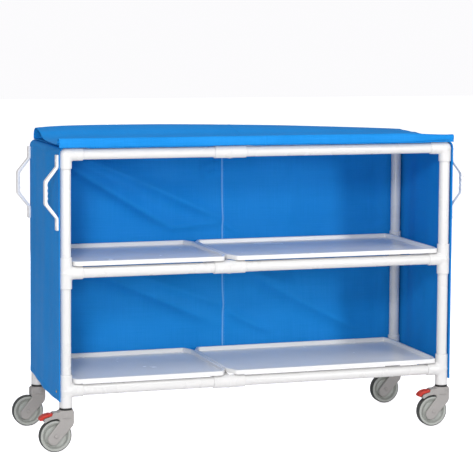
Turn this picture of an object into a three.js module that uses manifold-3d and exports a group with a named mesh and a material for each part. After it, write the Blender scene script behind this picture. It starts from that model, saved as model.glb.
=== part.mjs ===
// Covered linen trolley: a glued PVC pipe frame with two shelf levels, lift-in plastic trays, a sewn fabric
// cover whose front flap folds back over the top, four grab handles and four swivel casters.
// Millimetres, +Z up, X along the trolley, -Y the open front. The origin is on the floor under its centre.

import * as THREE from "three";
import { RoundedBoxGeometry } from "three/addons/geometries/RoundedBoxGeometry.js";
import { mergeVertices } from "three/addons/utils/BufferGeometryUtils.js";
import Module from "manifold-3d";

const wasm = await Module();
wasm.setup();

// ---------------------------------------------------------------- driving dimensions
const POST_SPAN_X = 1576; // between post axes, left to right
const POST_SPAN_Y = 487; // between post axes, front to back
const RAIL_LEVELS = { bottom: 234, middle: 687, top: 1140 }; // heights of the rail axes
const CROSS_X = -131; // the cross member stands left of centre, so the trays differ in length

const PIPE_RADIUS = 21.1; // 1 1/4 inch pipe
const PIPE_BORE = 17.5;
const FITTING_RADIUS = 25;
const SOCKET_RADIUS = PIPE_RADIUS + 0.35;
const OUTLET = 67; // fitting centre to the end of a horizontal outlet
const ELBOW_DROP = 55; // elbow centre to the end of its downward leg
const SLEEVE_HALF = 61; // half the length of a tee's straight sleeve
const CROSS_SLEEVE_HALF = 65;
const PIPE_SETBACK = 26; // from a fitting's centre to the end of a pipe pushed into it
const SIDES = 16; // facets round a pipe

const CASTER_HEIGHT = 164.4; // floor to the top of the swivel head
const WHEEL_RADIUS = 62.5;
const WHEEL_WIDTH = 30;
const WHEEL_TRAIL = 42; // swivel axis to axle
const FITTING_FOOT = 168.6; // floor to the underside of the bottom tees

const TRAY_FLOOR = RAIL_LEVELS.middle + FITTING_RADIUS + 0.5; // underside, on the middle level
const TRAY_SHEET = 2.5;
const TRAY_LIP_FOOT = 33; // rail axis to the underside of the rolled lip
const TRAY_LIP_TOP = 47; // rail axis to the top of the lip
const TRAY_LIP_WIDTH = 13;
const TRAY_LIP_OVERHANG = 10.5;
const TRAY_HALF_DEPTH = 263;
const TRAY_END_X = 768;
const TRAY_GAP = 1.5;

const COVER_SHEET = 2;
const COVER_CLEARANCE = 1;
const COVER_FOOT = 195; // floor to the cover's bottom hem
const COVER_FRONT_Y = -264;

const FLAP_SHEET = 2.4;
const FLAP_HALF_WIDTH = 813;
const FLAP_HINGE = { y: -272.5, z: 1171.4 };
const FLAP_FOLD = { y: 218, z: FLAP_HINGE.z };

const HANDLE_Z = 995;
const HANDLE_HALF_LENGTH = 143;
const HANDLE_REACH = 54;
const HANDLE_WIDTH = 26;
const HANDLE_PAD = 9;

const POST_X = POST_SPAN_X / 2;
const POST_Y = POST_SPAN_Y / 2;
const COVER_INNER = {
  x: POST_X + FITTING_RADIUS + COVER_CLEARANCE,
  y: POST_Y + FITTING_RADIUS + COVER_CLEARANCE,
  z: RAIL_LEVELS.top + FITTING_RADIUS + COVER_CLEARANCE,
};
const HANDLE_BASE_X = COVER_INNER.x + COVER_SHEET + 0.4;

const CORNERS = [
  { name: "front_left", x: -1, y: -1 },
  { name: "front_right", x: 1, y: -1 },
  { name: "back_left", x: -1, y: 1 },
  { name: "back_right", x: 1, y: 1 },
];

// ---------------------------------------------------------------- materials
const pvc = new THREE.MeshStandardMaterial({ color: 0xf2f2f4, roughness: 0.35 });
const trayPlastic = new THREE.MeshStandardMaterial({ color: 0xeceef2, roughness: 0.3 });
const coverFabric = new THREE.MeshStandardMaterial({ color: 0x1f6fc4, roughness: 0.6 });
const handlePlastic = new THREE.MeshStandardMaterial({ color: 0xf0eeee, roughness: 0.4 });
const casterPlastic = new THREE.MeshStandardMaterial({ color: 0xa9a8a4, roughness: 0.55 });
const wheelRubber = new THREE.MeshStandardMaterial({ color: 0xa4a8a2, roughness: 0.6 });
const pedalPlastic = new THREE.MeshStandardMaterial({ color: 0xd0331d, roughness: 0.45 });
const blackPlastic = new THREE.MeshStandardMaterial({ color: 0x1c1c1e, roughness: 0.5 });
const zincSteel = new THREE.MeshStandardMaterial({ color: 0xb8babd, roughness: 0.35, metalness: 0.9 });

// ---------------------------------------------------------------- solid helpers
function solid(geometry) {
  const positions = new THREE.BufferGeometry();
  const source = geometry.index ? geometry.toNonIndexed() : geometry;
  positions.setAttribute("position", source.getAttribute("position"));
  const merged = mergeVertices(positions, 1e-3);
  const vertProperties = merged.attributes.position.array;
  const triVerts = new Uint32Array(merged.index.array);
  return new wasm.Manifold(new wasm.Mesh({ numProp: 3, vertProperties, triVerts }));
}

function geometryOf(body) {
  const mesh = body.getMesh();
  const geometry = new THREE.BufferGeometry();
  geometry.setAttribute("position", new THREE.BufferAttribute(new Float32Array(mesh.vertProperties), 3));
  geometry.setIndex(new THREE.BufferAttribute(new Uint32Array(mesh.triVerts), 1));
  geometry.computeVertexNormals();
  return geometry;
}

function union(bodies) {
  return bodies.reduce((whole, body) => whole.add(body));
}

// A cylinder along one axis, from one coordinate to another on it, centred on the other two.
function rod(axis, radius, from, to, centre = {}, sides = SIDES) {
  const geometry = new THREE.CylinderGeometry(radius, radius, Math.abs(to - from), sides);
  if (axis === "x") geometry.rotateZ(-Math.PI / 2);
  if (axis === "z") geometry.rotateX(Math.PI / 2);
  const middle = { x: 0, y: 0, z: 0, ...centre };
  middle[axis] += (from + to) / 2;
  geometry.translate(middle.x, middle.y, middle.z);
  return solid(geometry);
}

function block(from, to) {
  const geometry = new THREE.BoxGeometry(to.x - from.x, to.y - from.y, to.z - from.z);
  geometry.translate((from.x + to.x) / 2, (from.y + to.y) / 2, (from.z + to.z) / 2);
  return solid(geometry);
}

// An outline drawn in x and z, given a thickness that is centred on y.
function plateXZ(shape, width, curveSegments = 10) {
  const geometry = new THREE.ExtrudeGeometry(shape, { depth: width, bevelEnabled: false, curveSegments });
  geometry.rotateX(Math.PI / 2);
  geometry.translate(0, width / 2, 0);
  return geometry;
}

function part(name, geometry, material, position = {}) {
  const mesh = new THREE.Mesh(geometry, material);
  mesh.name = name;
  mesh.position.set(position.x ?? 0, position.y ?? 0, position.z ?? 0);
  return mesh;
}

// ---------------------------------------------------------------- pipe frame
function pipeGeometry(axis, from, to) {
  const reach = 1;
  const bore = rod(axis, PIPE_BORE, from - reach, to + reach);
  return geometryOf(rod(axis, PIPE_RADIUS, from, to).subtract(bore));
}

// Hollow fitting: outer legs less the sockets that take the pipes and the waterway that joins them.
function fitting(outer, sockets) {
  return geometryOf(union(outer).subtract(union(sockets)));
}

// Three-way corner elbow with legs along +X, +Y and -Z and a ball corner.
function elbowGeometry() {
  const ball = solid(new THREE.SphereGeometry(FITTING_RADIUS, SIDES, SIDES / 2));
  const outer = [
    ball,
    rod("x", FITTING_RADIUS, 0, OUTLET),
    rod("y", FITTING_RADIUS, 0, OUTLET),
    rod("z", FITTING_RADIUS, -ELBOW_DROP, 0),
  ];
  const sockets = [
    rod("x", SOCKET_RADIUS, PIPE_SETBACK - 1, OUTLET + 1),
    rod("y", SOCKET_RADIUS, PIPE_SETBACK - 1, OUTLET + 1),
    rod("z", SOCKET_RADIUS, -ELBOW_DROP - 1, 1 - PIPE_SETBACK),
    rod("x", PIPE_BORE, 0, PIPE_SETBACK),
    rod("y", PIPE_BORE, 0, PIPE_SETBACK),
    rod("z", PIPE_BORE, -PIPE_SETBACK, 0),
  ];
  return fitting(outer, sockets);
}

// Four-way tee that slips over a post, with outlets along +X and +Y.
function postTeeGeometry(below) {
  const outer = [
    rod("z", FITTING_RADIUS, -below, SLEEVE_HALF),
    rod("x", FITTING_RADIUS, 0, OUTLET),
    rod("y", FITTING_RADIUS, 0, OUTLET),
  ];
  const sockets = [
    rod("z", SOCKET_RADIUS, -below - 1, SLEEVE_HALF + 1),
    rod("x", SOCKET_RADIUS, 0, OUTLET + 1),
    rod("y", SOCKET_RADIUS, 0, OUTLET + 1),
  ];
  return fitting(outer, sockets);
}

// Cross pipe with a tee glued to each end; the tees slip over the front and back rails.
function crossMemberGeometry() {
  const ends = [-1, 1];
  const outer = [
    rod("y", PIPE_RADIUS, -POST_Y, POST_Y),
    ...ends.map((s) => rod("x", FITTING_RADIUS, -CROSS_SLEEVE_HALF, CROSS_SLEEVE_HALF, { y: s * POST_Y })),
    ...ends.map((s) => rod("y", FITTING_RADIUS, s * POST_Y, s * (POST_Y - OUTLET))),
  ];
  const through = CROSS_SLEEVE_HALF + 1;
  const sockets = [
    rod("y", PIPE_BORE, -POST_Y, POST_Y),
    ...ends.map((s) => rod("x", SOCKET_RADIUS, -through, through, { y: s * POST_Y })),
  ];
  return fitting(outer, sockets);
}

function frame() {
  const group = new THREE.Group();
  const elbow = elbowGeometry();
  const middleTee = postTeeGeometry(SLEEVE_HALF);
  const bottomTee = postTeeGeometry(RAIL_LEVELS.bottom - FITTING_FOOT);
  const post = pipeGeometry("z", FITTING_FOOT + 0.4, RAIL_LEVELS.top - PIPE_SETBACK);
  const cornerParts = [
    ["elbow", elbow, RAIL_LEVELS.top],
    ["tee_middle", middleTee, RAIL_LEVELS.middle],
    ["tee_bottom", bottomTee, RAIL_LEVELS.bottom],
  ];
  for (const corner of CORNERS) {
    const at = { x: corner.x * POST_X, y: corner.y * POST_Y };
    group.add(part(`post_${corner.name}`, post, pvc, at));
    for (const [name, geometry, z] of cornerParts) {
      const mesh = part(`${name}_${corner.name}`, geometry, pvc, { ...at, z });
      mesh.scale.set(-corner.x, -corner.y, 1);
      group.add(mesh);
    }
  }

  const longRail = pipeGeometry("x", PIPE_SETBACK - POST_X, POST_X - PIPE_SETBACK);
  const sideRail = pipeGeometry("y", PIPE_SETBACK - POST_Y, POST_Y - PIPE_SETBACK);
  const crossMember = crossMemberGeometry();
  for (const [level, z] of Object.entries(RAIL_LEVELS)) {
    group.add(part(`rail_front_${level}`, longRail, pvc, { y: -POST_Y, z }));
    group.add(part(`rail_back_${level}`, longRail, pvc, { y: POST_Y, z }));
    group.add(part(`side_rail_left_${level}`, sideRail, pvc, { x: -POST_X, z }));
    group.add(part(`side_rail_right_${level}`, sideRail, pvc, { x: POST_X, z }));
    group.add(part(`cross_member_${level}`, crossMember, pvc, { x: CROSS_X, z }));
  }
  return group;
}

// ---------------------------------------------------------------- trays
// A rectangle whose corners are cut back to clear the posts, drawn in x and y and inset all round.
function trayShape(left, right, cutLeft, cutRight, inset) {
  const cutY = 58;
  const x0 = left + inset;
  const x1 = right - inset;
  const y = TRAY_HALF_DEPTH - inset;
  const yCut = TRAY_HALF_DEPTH - cutY - inset * 0.25;
  const shape = new THREE.Shape();
  shape.moveTo(x0 + cutLeft, -y);
  shape.lineTo(x1 - cutRight, -y);
  shape.lineTo(x1, -yCut);
  shape.lineTo(x1, yCut);
  shape.lineTo(x1 - cutRight, y);
  shape.lineTo(x0 + cutLeft, y);
  shape.lineTo(x0, yCut);
  shape.lineTo(x0, -yCut);
  shape.closePath();
  return shape;
}

function layer(shape, from, to) {
  const geometry = new THREE.ExtrudeGeometry(shape, { depth: to - from, bevelEnabled: false });
  geometry.translate(0, 0, from);
  return solid(geometry);
}

// Heights are from the rail axis. The rolled lip overhangs the wall, and the pocket leaves a thin floor.
function trayGeometry(left, right, cutLeft, cutRight) {
  const outline = (inset) => trayShape(left, right, cutLeft, cutRight, inset);
  const floorFoot = TRAY_FLOOR - RAIL_LEVELS.middle;
  const lip = layer(outline(0), TRAY_LIP_FOOT, TRAY_LIP_TOP);
  const pan = layer(outline(TRAY_LIP_OVERHANG), floorFoot, TRAY_LIP_FOOT + 1);
  const pocket = layer(outline(TRAY_LIP_WIDTH), floorFoot + TRAY_SHEET, TRAY_LIP_TOP + 1);
  return geometryOf(lip.add(pan).subtract(pocket));
}

function trays() {
  const postCut = 14;
  const seamCut = 26;
  const left = trayGeometry(-TRAY_END_X, CROSS_X - TRAY_GAP, postCut, seamCut);
  const right = trayGeometry(CROSS_X + TRAY_GAP, TRAY_END_X, seamCut, postCut);
  const group = new THREE.Group();
  for (const level of ["middle", "bottom"]) {
    group.add(part(`tray_left_${level}`, left, trayPlastic, { z: RAIL_LEVELS[level] }));
    group.add(part(`tray_right_${level}`, right, trayPlastic, { z: RAIL_LEVELS[level] }));
  }
  return group;
}

// ---------------------------------------------------------------- fabric cover
// A rounded box that runs from below the floor to its top and from in front of the trolley to its back.
function coverBox(grow) {
  const radius = FITTING_RADIUS + grow;
  const overrun = 200;
  const halfX = COVER_INNER.x + grow;
  const backY = COVER_INNER.y + grow;
  const topZ = COVER_INNER.z + grow;
  const depth = backY + POST_Y + overrun + grow;
  const height = topZ + overrun + grow;
  const geometry = new RoundedBoxGeometry(halfX * 2, depth, height, 4, radius);
  geometry.translate(0, backY - depth / 2, topZ - height / 2);
  return solid(geometry);
}

// Top, back and two ends in one sewn piece, open at the front and underneath.
function coverShellGeometry() {
  const shell = coverBox(COVER_SHEET).subtract(coverBox(0));
  const outside = 1500;
  const keep = block(
    { x: -outside, y: COVER_FRONT_Y, z: COVER_FOOT },
    { x: outside, y: outside, z: outside },
  );
  return geometryOf(shell.intersect(keep));
}

// A sheet of even thickness along a centre line drawn in y and z, spread across x.
function sheetGeometry(centreLine, thickness) {
  const side = (sign) =>
    centreLine.map((point, i) => {
      const before = centreLine[Math.max(i - 1, 0)];
      const after = centreLine[Math.min(i + 1, centreLine.length - 1)];
      const along = after.clone().sub(before).normalize();
      return new THREE.Vector2(-along.y, along.x).multiplyScalar((sign * thickness) / 2).add(point);
    });
  const shape = new THREE.Shape([...side(1), ...side(-1).reverse()]);
  const geometry = new THREE.ExtrudeGeometry(shape, { depth: 2 * FLAP_HALF_WIDTH, bevelEnabled: false });
  // The shape's (x, y) becomes the part's (y, z), and the extrusion runs along x.
  const turn = new THREE.Matrix4().set(0, 0, 1, 0, 1, 0, 0, 0, 0, 1, 0, 0, 0, 0, 0, 1);
  geometry.applyMatrix4(turn);
  geometry.translate(-FLAP_HALF_WIDTH, 0, 0);
  return geometry;
}

// The flap's upper half lies back across the top, from the front edge to the fold.
function flapUpperGeometry() {
  const ends = [FLAP_HINGE.y + 3, FLAP_FOLD.y - 4].map((y) => new THREE.Vector2(y, FLAP_HINGE.z));
  return sheetGeometry(ends, FLAP_SHEET);
}

// The lower half springs up at the fold, comes forward over the upper half and ends in a rolled hem.
function flapLowerGeometry() {
  const rise = 42;
  const depth = 25;
  const steps = 6;
  const foldY = FLAP_FOLD.y + 1.5;
  const fold = Array.from({ length: steps + 1 }, (_, i) => {
    const angle = (Math.PI / 2) * (i / steps);
    return new THREE.Vector2(foldY - depth * (1 - Math.cos(angle)), FLAP_FOLD.z + rise * Math.sin(angle));
  });
  // Distances forward of the fold's crest and heights above the hinge line, down and then over the hem.
  const run = [
    [34, 41],
    [90, 15],
    [155, 5],
    [345, 4.8],
    [417, 6.6],
    [435, 20.6],
    [451, 26.6],
    [462, 18.6],
    [462, 6.6],
  ];
  const crestY = foldY - depth;
  const points = run.map(([forward, height]) => new THREE.Vector2(crestY - forward, FLAP_FOLD.z + height));
  return sheetGeometry([...fold, ...new THREE.SplineCurve(points).getPoints(36)], FLAP_SHEET);
}

function cover() {
  const group = new THREE.Group();
  group.add(part("cover_shell", coverShellGeometry(), coverFabric));
  group.add(part("flap_upper", flapUpperGeometry(), coverFabric));
  group.add(part("flap_lower", flapLowerGeometry(), coverFabric));
  return group;
}

// ---------------------------------------------------------------- handles
// Bow handle drawn with x as its reach from the end panel and y as its height, centred.
function handleShape() {
  const gripHalf = 43; // straight outer face of the grip
  const scallopHalf = 41; // finger grooves on the grip's inner face
  const scallops = 4;
  const scallopDepth = 2;
  const padFoot = 98; // where the slanting arms leave the pads
  const armStep = 2; // the arms meet the pads and the grip a little off their inner corners
  const round = 4;
  const inner = HANDLE_REACH - 11;
  const pitch = (2 * scallopHalf) / scallops;
  const shape = new THREE.Shape();
  shape.moveTo(0, HANDLE_HALF_LENGTH);
  shape.lineTo(0, padFoot);
  shape.lineTo(inner, scallopHalf);
  for (let i = 0; i < scallops; i++) {
    const top = scallopHalf - i * pitch;
    shape.quadraticCurveTo(inner + 2 * scallopDepth, top - pitch / 2, inner, top - pitch);
  }
  shape.lineTo(0, -padFoot);
  shape.lineTo(0, -HANDLE_HALF_LENGTH);
  shape.lineTo(HANDLE_PAD, -HANDLE_HALF_LENGTH);
  shape.lineTo(HANDLE_PAD, -padFoot - armStep);
  shape.lineTo(HANDLE_REACH - armStep, -gripHalf - round);
  shape.quadraticCurveTo(HANDLE_REACH, -gripHalf, HANDLE_REACH, round - gripHalf);
  shape.lineTo(HANDLE_REACH, gripHalf - round);
  shape.quadraticCurveTo(HANDLE_REACH, gripHalf, HANDLE_REACH - armStep, gripHalf + round);
  shape.lineTo(HANDLE_PAD, padFoot + armStep);
  shape.lineTo(HANDLE_PAD, HANDLE_HALF_LENGTH);
  shape.closePath();
  return shape;
}

function handles() {
  const bow = plateXZ(handleShape(), HANDLE_WIDTH, 4);
  const group = new THREE.Group();
  for (const corner of CORNERS) {
    const at = { x: corner.x * HANDLE_BASE_X, y: corner.y * POST_Y, z: HANDLE_Z };
    const mesh = part(`handle_${corner.name}`, bow, handlePlastic, at);
    mesh.scale.x = corner.x;
    group.add(mesh);
  }
  return group;
}

// ---------------------------------------------------------------- casters
// Each caster is drawn with its swivel axis on z, its foot on z = 0 and its wheel trailing along -X.
const AXLE = { x: -WHEEL_TRAIL, z: WHEEL_RADIUS };
const FORK_WIDTH = 46;
const WHEEL_SLOT = 34;
const KINGPIN_RADIUS = 6;
const KINGPIN_FOOT = 138;
const AXLE_RADIUS = 4;
const WHEEL_SIDES = 26;
const BOLT_SIDES = 12;
const RUNNING_GAP = 0.4; // between a pin and its hole, and between faces that turn past each other
const PEDAL_PIVOT = { x: -45, z: 142.5 };
const PEDAL_PIN_RADIUS = 2.5;
const PEDAL_WIDTH = 34;

// Turns a closed (radius, height) profile about z.
function turned(profile, sides) {
  const points = profile.map(([radius, height]) => new THREE.Vector2(radius, height));
  const geometry = new THREE.LatheGeometry(points, sides);
  geometry.rotateX(Math.PI / 2);
  return geometry;
}

// Kingpin, black flange and the expanding sleeve that grips the inside of the post.
function stemGeometry() {
  const flangeRadius = 23.5;
  const flangeFoot = CASTER_HEIGHT + RUNNING_GAP;
  const flangeTop = FITTING_FOOT - RUNNING_GAP;
  const sleeveRadius = PIPE_BORE - 0.6;
  return turned(
    [
      [0, KINGPIN_FOOT],
      [KINGPIN_RADIUS, KINGPIN_FOOT],
      [KINGPIN_RADIUS, flangeFoot],
      [flangeRadius, flangeFoot],
      [flangeRadius, flangeTop],
      [sleeveRadius, flangeTop],
      [sleeveRadius, 222],
      [sleeveRadius - 3, 228],
      [0, 228],
    ],
    SIDES,
  );
}

// Side view of head and leg: the leg slants down to a rounded end that holds the axle.
function forkShape() {
  const shape = new THREE.Shape();
  shape.moveTo(29, 158);
  shape.lineTo(-32, 158);
  shape.lineTo(-32, 126);
  shape.lineTo(-24, 119);
  shape.lineTo(-71, 64);
  shape.quadraticCurveTo(-78, 55, -71, 48);
  shape.lineTo(-63, 39);
  shape.quadraticCurveTo(-55, 31, -47, 39);
  shape.lineTo(18, 92);
  shape.quadraticCurveTo(29, 100, 29, 114);
  shape.closePath();
  return shape;
}

// The braked casters carry a housing that reaches back over the wheel as a mudguard and takes the pedal.
function brakeHousing() {
  const width = FORK_WIDTH - 4;
  const gap = 4.5;
  const sheet = 5;
  const inner = WHEEL_RADIUS + gap;
  const start = Math.PI * 0.42;
  const end = Math.PI * 0.715;
  const outline = new THREE.Shape();
  outline.moveTo(-48, 154);
  outline.lineTo(-20, 154);
  outline.absarc(AXLE.x, AXLE.z, inner, start, end, false);
  outline.lineTo(-91, 127);
  outline.quadraticCurveTo(-89, 133, -80, 136);
  outline.lineTo(-57, 142);
  outline.lineTo(-56, 151);
  outline.closePath();
  // Only the two cheeks stand above the mudguard, so that the pedal can sink between them.
  const pocket = new THREE.Shape();
  pocket.moveTo(-110, 150.5);
  pocket.lineTo(-36, 150.5);
  pocket.absarc(AXLE.x, AXLE.z, inner + sheet, Math.PI * 0.47, Math.PI * 0.8, false);
  pocket.closePath();
  const pinHole = rod("y", PEDAL_PIN_RADIUS + RUNNING_GAP, -width, width, PEDAL_PIVOT, BOLT_SIDES);
  const body = solid(plateXZ(outline, width)).subtract(solid(plateXZ(pocket, PEDAL_WIDTH + 1.4)));
  return body.subtract(pinHole);
}

function forkGeometry(braked) {
  const headRadius = 28.5;
  const head = rod("z", headRadius, 130, CASTER_HEIGHT);
  const pieces = [solid(plateXZ(forkShape(), FORK_WIDTH)), head];
  if (braked) pieces.push(brakeHousing());
  const wheelRoom = rod("y", WHEEL_RADIUS + 4, -WHEEL_SLOT / 2, WHEEL_SLOT / 2, AXLE, WHEEL_SIDES);
  const axleHole = rod("y", AXLE_RADIUS + RUNNING_GAP, -FORK_WIDTH, FORK_WIDTH, AXLE, BOLT_SIDES);
  const kingpinHole = rod("z", KINGPIN_RADIUS + RUNNING_GAP, KINGPIN_FOOT - 2, CASTER_HEIGHT + 1);
  return geometryOf(union(pieces).subtract(union([wheelRoom, axleHole, kingpinHole])));
}

// Tyre with a rounded tread on a dished hub, turned about z and then laid on its side.
function wheelGeometry() {
  const half = WHEEL_WIDTH / 2;
  const bore = AXLE_RADIUS + RUNNING_GAP;
  const section = [
    [bore, -half],
    [14, -half],
    [45, -half + 3],
    [48, -half],
    [56, -half],
    [WHEEL_RADIUS, -half + 8],
  ];
  const mirrored = section.map(([radius, height]) => [radius, -height]).reverse();
  const geometry = turned([...section, ...mirrored, section[0]], WHEEL_SIDES);
  geometry.rotateX(-Math.PI / 2);
  return geometry;
}

// Bolt with a domed head at the front and a nut at the back.
function axleGeometry() {
  const face = FORK_WIDTH / 2 + RUNNING_GAP;
  const headRadius = 7.5;
  const headHeight = 3.5;
  const nutRadius = 6.5;
  const nutHeight = 4;
  const geometry = turned(
    [
      [0, -face - headHeight],
      [headRadius / 2, -face - headHeight * 0.9],
      [headRadius, -face - headHeight * 0.3],
      [headRadius, -face],
      [AXLE_RADIUS, -face],
      [AXLE_RADIUS, face],
      [nutRadius, face],
      [nutRadius, face + nutHeight],
      [0, face + nutHeight],
    ],
    BOLT_SIDES,
  );
  geometry.rotateX(-Math.PI / 2);
  return geometry;
}

// Foot pedal, drawn about its pivot pin, which runs through the housing's cheeks.
function pedalGeometry() {
  const hubRadius = 7;
  const shape = new THREE.Shape();
  shape.absarc(PEDAL_PIVOT.x, PEDAL_PIVOT.z, hubRadius, -Math.PI * 0.6, Math.PI * 0.56, false);
  shape.lineTo(-57, 149.8);
  shape.quadraticCurveTo(-88, 149.5, -111, 141.5);
  shape.quadraticCurveTo(-116, 135, -110, 128.5);
  shape.lineTo(-95, 126.5);
  shape.quadraticCurveTo(-93.5, 134, -84, 137.5);
  shape.lineTo(-58, 142.5);
  shape.closePath();
  const plate = solid(plateXZ(shape, PEDAL_WIDTH));
  const pinEnd = FORK_WIDTH / 2 - 0.3;
  const pin = rod("y", PEDAL_PIN_RADIUS, -pinEnd, pinEnd, PEDAL_PIVOT, BOLT_SIDES);
  const geometry = geometryOf(plate.add(pin));
  geometry.translate(-PEDAL_PIVOT.x, 0, -PEDAL_PIVOT.z);
  return geometry;
}

function casters() {
  const stem = stemGeometry();
  const wheel = wheelGeometry();
  const axle = axleGeometry();
  const pedal = pedalGeometry();
  const forks = { braked: forkGeometry(true), plain: forkGeometry(false) };
  const group = new THREE.Group();
  for (const corner of CORNERS) {
    const braked = corner.y < 0;
    const caster = new THREE.Group();
    caster.position.set(corner.x * POST_X, corner.y * POST_Y, 0);
    caster.add(part(`caster_stem_${corner.name}`, stem, blackPlastic));
    caster.add(part(`caster_fork_${corner.name}`, braked ? forks.braked : forks.plain, casterPlastic));
    caster.add(part(`caster_wheel_${corner.name}`, wheel, wheelRubber, AXLE));
    caster.add(part(`caster_axle_${corner.name}`, axle, zincSteel, AXLE));
    if (braked) caster.add(part(`brake_pedal_${corner.name}`, pedal, pedalPlastic, PEDAL_PIVOT));
    group.add(caster);
  }
  return group;
}

// ---------------------------------------------------------------- assembly
const trolley = new THREE.Group();
trolley.add(frame(), trays(), cover(), handles(), casters());

// The trailing casters reach further left than anything reaches right, so the whole is moved to put the
// origin on the floor under the middle of its bounding box.
const middle = new THREE.Box3().setFromObject(trolley).getCenter(new THREE.Vector3());
trolley.position.set(-middle.x, -middle.y, 0);
export default trolley;
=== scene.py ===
"""Looks of the covered linen trolley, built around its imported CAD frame.

Moulded pieces (fittings, caster forks, handles) are skinned from distance fields, turned pieces are lathed,
trays are swept, and every piece of fabric is a thin sheet shaped by a formula, thicker at its hems.
Metres throughout, apart from the outlines and tables that say millimetres.
"""

import math
from itertools import product

import bpy
import numpy as np
from mathutils import Matrix, Vector


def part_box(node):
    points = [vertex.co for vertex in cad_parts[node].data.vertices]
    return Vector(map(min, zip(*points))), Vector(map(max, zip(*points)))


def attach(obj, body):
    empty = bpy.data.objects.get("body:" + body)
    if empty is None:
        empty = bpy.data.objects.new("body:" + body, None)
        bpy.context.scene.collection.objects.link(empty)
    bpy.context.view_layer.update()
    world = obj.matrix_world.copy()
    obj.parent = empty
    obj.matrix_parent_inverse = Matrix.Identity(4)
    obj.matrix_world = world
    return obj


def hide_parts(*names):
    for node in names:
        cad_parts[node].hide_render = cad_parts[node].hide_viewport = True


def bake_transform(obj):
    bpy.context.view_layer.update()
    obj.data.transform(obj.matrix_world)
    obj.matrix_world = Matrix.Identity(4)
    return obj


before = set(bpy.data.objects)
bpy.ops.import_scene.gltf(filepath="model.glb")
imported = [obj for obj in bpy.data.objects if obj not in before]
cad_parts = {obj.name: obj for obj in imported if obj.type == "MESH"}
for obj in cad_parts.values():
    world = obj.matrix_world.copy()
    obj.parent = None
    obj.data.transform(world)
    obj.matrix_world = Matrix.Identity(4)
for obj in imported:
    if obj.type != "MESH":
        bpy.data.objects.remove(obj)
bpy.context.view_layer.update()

MM = 0.001
CORNERS = {
    "front_left": (-1, -1),
    "front_right": (1, -1),
    "back_left": (-1, 1),
    "back_right": (1, 1),
}
LEVELS = ("bottom", "middle", "top")


# ---------------------------------------------------------------- places read from the frame
def centre(node):
    low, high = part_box(node)
    return (low + high) / 2


def extent(node):
    """A node's size along x, y and z."""
    low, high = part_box(node)
    return [b - a for a, b in zip(low, high)]


def post_axis(corner):
    middle = centre(f"post_{corner}")
    return middle.x, middle.y


LEFT_X, FRONT_Y = post_axis("front_left")
RIGHT_X, BACK_Y = post_axis("back_right")
MIDDLE_X = (LEFT_X + RIGHT_X) / 2
RAIL_Z = {level: centre(f"rail_front_{level}").z for level in LEVELS}
CROSS_X = centre("cross_member_top").x
PIPE_RADIUS = extent("rail_front_top")[2] / 2
FITTING_RADIUS = extent("cross_member_top")[2] / 2
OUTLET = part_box("elbow_front_left")[1].x - LEFT_X
ELBOW_DROP = RAIL_Z["top"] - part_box("elbow_front_left")[0].z
SLEEVE_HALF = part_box("tee_middle_front_left")[1].z - RAIL_Z["middle"]
BOTTOM_TEE_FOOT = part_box("tee_bottom_front_left")[0].z
BOTTOM_TEE_DROP = RAIL_Z["bottom"] - BOTTOM_TEE_FOOT
CROSS_SLEEVE_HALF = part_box("cross_member_top")[1].x - CROSS_X


# ---------------------------------------------------------------- materials
def new_material(name, colour, roughness, **settings):
    material = bpy.data.materials.new(name)
    material.use_nodes = True
    shader = material.node_tree.nodes["Principled BSDF"]
    shader.inputs["Base Color"].default_value = (*colour, 1)
    shader.inputs["Roughness"].default_value = roughness
    for key, value in settings.items():
        shader.inputs[key.replace("_", " ")].default_value = value
    return material


class Nodes:
    """Short forms for adding and linking the nodes of one material."""

    def __init__(self, material):
        self.tree = material.node_tree
        self.shader = self.tree.nodes["Principled BSDF"]

    def add(self, kind, **inputs):
        node = self.tree.nodes.new("ShaderNode" + kind)
        for key, value in inputs.items():
            name = key.replace("_", " ")
            if isinstance(value, bpy.types.NodeSocket):
                self.tree.links.new(value, node.inputs[name])
            else:
                node.inputs[name].default_value = value
        return node

    def link(self, output, name):
        self.tree.links.new(output, self.shader.inputs[name])

    def math(self, operation, a, b=0.0):
        node = self.tree.nodes.new("ShaderNodeMath")
        node.operation = operation
        for socket, value in zip(node.inputs, (a, b)):
            if isinstance(value, bpy.types.NodeSocket):
                self.tree.links.new(value, socket)
            else:
                socket.default_value = value
        return node.outputs[0]

    def mix(self, share, a, b):
        node = self.tree.nodes.new("ShaderNodeMix")
        node.data_type = "RGBA"
        for socket, value in zip((node.inputs[0], node.inputs[6], node.inputs[7]), (share, a, b)):
            if isinstance(value, bpy.types.NodeSocket):
                self.tree.links.new(value, socket)
            else:
                socket.default_value = value
        return node.outputs[2]

    def range(self, value, low, high, new_low, new_high):
        node = self.add("MapRange", Value=value)
        for name, number in zip(("From Min", "From Max", "To Min", "To Max"), (low, high, new_low, new_high)):
            node.inputs[name].default_value = number
        return node.outputs[0]

    def noise(self, vector, scale, detail=3.0, roughness=0.55):
        return self.add("TexNoise", Vector=vector, Scale=scale, Detail=detail, Roughness=roughness).outputs[0]

    def stretched(self, vector, scale):
        node = self.add("Mapping", Vector=vector)
        node.inputs["Scale"].default_value = scale
        return node.outputs[0]

    def bump(self, height, strength, distance):
        node = self.add("Bump", Height=height, Strength=strength, Distance=distance)
        self.link(node.outputs[0], "Normal")

    def place(self, kind="Object"):
        return self.tree.nodes.new("ShaderNodeTexCoord").outputs[kind]


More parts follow.
